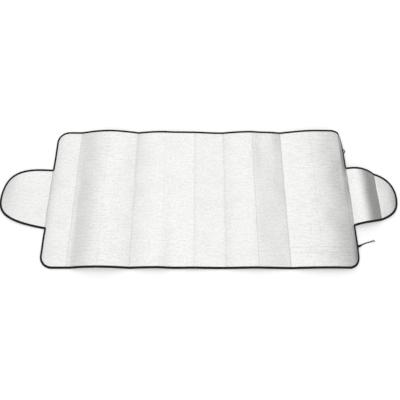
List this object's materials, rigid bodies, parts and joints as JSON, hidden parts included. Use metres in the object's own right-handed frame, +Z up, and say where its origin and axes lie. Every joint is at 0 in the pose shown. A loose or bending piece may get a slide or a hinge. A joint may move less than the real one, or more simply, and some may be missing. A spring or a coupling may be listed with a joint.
{
  "type": "windshield sun shade",
  "caption": "Folding foil-faced foam sun shade for a car windshield, laid out flat, with two side ears, black edge binding and elastic holding loops.",
  "frame": {"origin": "middle of the shade's length and depth, on the surface that it lies on", "axes": "+X along the shade to the end with the elastic loops, +Y from the near long edge to the far one, +Z up"},
  "size_m": [1.8894, 0.7, 0.0341],
  "materials": {
    "foil_sheet": "satin silver foil on foam",
    "binding_tape": "matte woven black tape",
    "elastic_cord": "matte braided black elastic"
  },
  "bodies": {
    "root": {"shade_sheet": "foil_sheet", "edge_binding": "binding_tape", "elastic_loop_near": "elastic_cord", "elastic_loop_far": "elastic_cord"}
  },
  "joints": []
}
